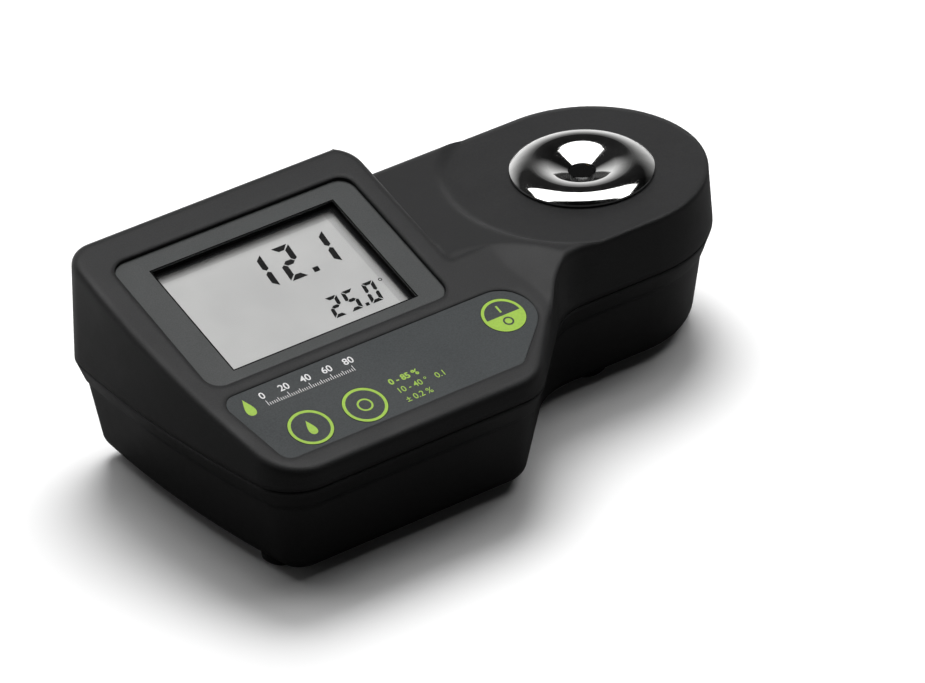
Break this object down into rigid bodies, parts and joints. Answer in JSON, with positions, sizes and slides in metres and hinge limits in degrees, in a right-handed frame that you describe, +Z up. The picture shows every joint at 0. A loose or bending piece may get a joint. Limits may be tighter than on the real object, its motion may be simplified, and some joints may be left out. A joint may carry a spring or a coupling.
{
  "type": "digital refractometer",
  "caption": "Bench digital refractometer with a sloping display, three keys and a polished sample ring over a glass prism, run from a battery under a round turning cover.",
  "frame": {"origin": "on the table under the middle of the case's bounding box", "axes": "+X along the length towards the sample ring, +Y to the back where the display panel is highest, +Z up"},
  "size_m": [0.192, 0.102, 0.0667],
  "materials": {
    "case": "fine matte texture",
    "bezel": "fine matte texture",
    "clear_window": "clear",
    "lcd": "grey liquid crystal",
    "reflector": "satin",
    "overlay_film": "fine grain",
    "key_read": "fine grain with green ring",
    "key_zero": "fine grain with green ring",
    "key_on_off": "fine grain with green ring",
    "polished_steel": "mirror polished",
    "steel": "plain",
    "rubber": "matte",
    "foam": "open cell",
    "optical_glass": "polished",
    "board": "solder mask",
    "chip": "moulded",
    "white_plastic": "moulded",
    "black_plastic": "moulded",
    "amber_led": "clear tinted",
    "flex_film": "smooth film",
    "battery_can": "printed sleeve",
    "wire": "smooth"
  },
  "bodies": {
    "root": {"upper_case": "case", "lower_case": "case", "case_seal": "rubber", "display_bezel": "bezel", "display_window": "clear_window", "lcd_glass": "lcd", "lcd_reflector": "reflector", "zebra_strips": "rubber", "lcd_holder": "white_plastic", "main_board": "board", "board_screws": "steel", "board_chips": "chip", "keypad_overlay": "overlay_film", "snap_domes": "steel", "keypad_spacer": "white_plastic", "keypad_board": "board", "keypad_tail": "flex_film", "sample_ring": "polished_steel", "ring_gasket": "rubber", "ring_nut": "steel", "prism_seal": "rubber", "prism": "optical_glass", "optics_block": "black_plastic", "led": "amber_led", "led_board": "board", "lens": "optical_glass", "image_sensor": "chip", "sensor_board": "board", "thermistor": "chip", "optics_screws": "steel", "battery": "battery_can", "battery_terminals": "steel", "battery_snap": "black_plastic", "battery_pad": "foam", "power_socket": "white_plastic", "battery_leads": "wire", "case_screws": "steel", "foot_front_left": "rubber", "foot_back_left": "rubber", "foot_front_right": "rubber", "foot_back_right": "rubber"},
    "read_key": {"key_read": "key_read"},
    "zero_key": {"key_zero": "key_zero"},
    "on_off_key": {"key_on_off": "key_on_off"},
    "cover": {"battery_cover": "case"}
  },
  "joints": [
    {"name": "read_press", "type": "slide", "parent": "root", "child": "read_key", "axis": [0, 0.26, -0.9656], "range_m": [0, 0.00025], "stiffness_N_per_m": 400},
    {"name": "zero_press", "type": "slide", "parent": "root", "child": "zero_key", "axis": [0, 0.26, -0.9656], "range_m": [0, 0.00025], "stiffness_N_per_m": 400},
    {"name": "on_off_press", "type": "slide", "parent": "root", "child": "on_off_key", "axis": [0, 0.26, -0.9656], "range_m": [0, 0.00025], "stiffness_N_per_m": 400},
    {"name": "cover_turn", "type": "hinge", "parent": "root", "child": "cover", "pos_m": [-0.045, 0, 0.0025], "axis": [0, 0, 1], "range_deg": [0, 40]}
  ]
}
